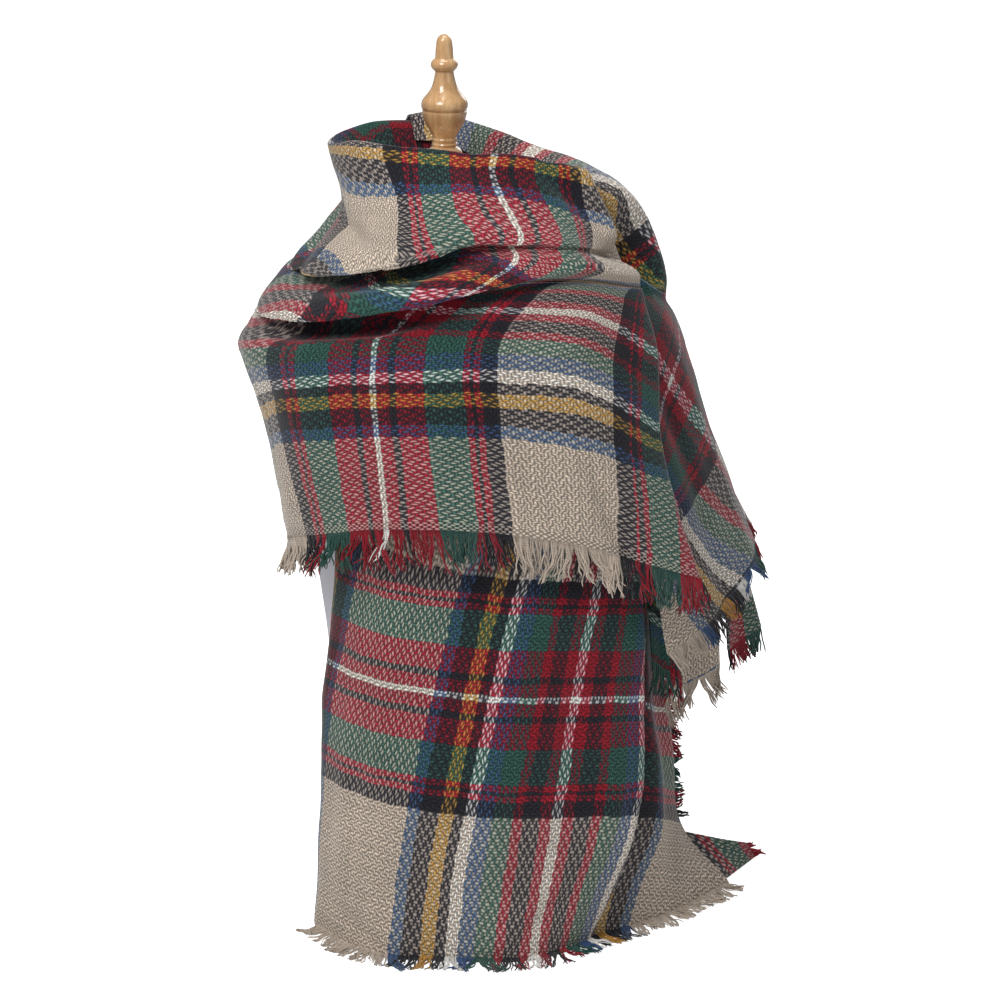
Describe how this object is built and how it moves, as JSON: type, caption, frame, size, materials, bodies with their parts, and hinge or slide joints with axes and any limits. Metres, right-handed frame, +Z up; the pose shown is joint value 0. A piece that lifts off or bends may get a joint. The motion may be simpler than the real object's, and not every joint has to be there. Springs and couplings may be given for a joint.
{
  "type": "tartan blanket scarf wound on a limbless dress form",
  "caption": "Fringed tartan blanket scarf wound as a cowl, chest panel, shoulder drape and hanging tail on a smooth limbless dress form with a turned wooden finial.",
  "frame": {"origin": "centre of the dress form's flat underside, on its vertical axis, at the height of the table", "axes": "+Z up along the form's axis, -Y to the front, +X to the side where the shoulder drape hangs"},
  "size_m": [0.5827, 0.464, 0.9629],
  "materials": {
    "tartan": "brushed acrylic twill in red, green, navy, blue, ochre, white and beige checks",
    "fringe": "loose twisted yarns in the colours of the cloth",
    "form_cover": "matt white stretch cover",
    "varnished_wood": "honey-coloured gloss varnish"
  },
  "bodies": {
    "root": {"form_torso": "form_cover", "form_cap": "varnished_wood", "form_finial": "varnished_wood", "scarf_cowl": "tartan", "scarf_cowl_back": "tartan", "scarf_roll": "tartan", "scarf_front_panel": "tartan", "scarf_back_panel": "tartan", "scarf_shoulder_fold": "tartan", "scarf_drape": "tartan", "scarf_inner_fold": "tartan", "scarf_under_fold": "tartan", "scarf_corner_fold": "tartan", "scarf_tail": "tartan", "scarf_tail_side": "tartan", "scarf_tail_corner": "tartan", "fringe_front_hem": "fringe", "fringe_back_hem": "fringe", "fringe_drape_hem": "fringe", "fringe_inner_fold": "fringe", "fringe_under_fold": "fringe", "fringe_corner_fold": "fringe", "fringe_tail_hem": "fringe", "fringe_tail_side": "fringe", "fringe_tail_corner": "fringe"}
  },
  "joints": []
}
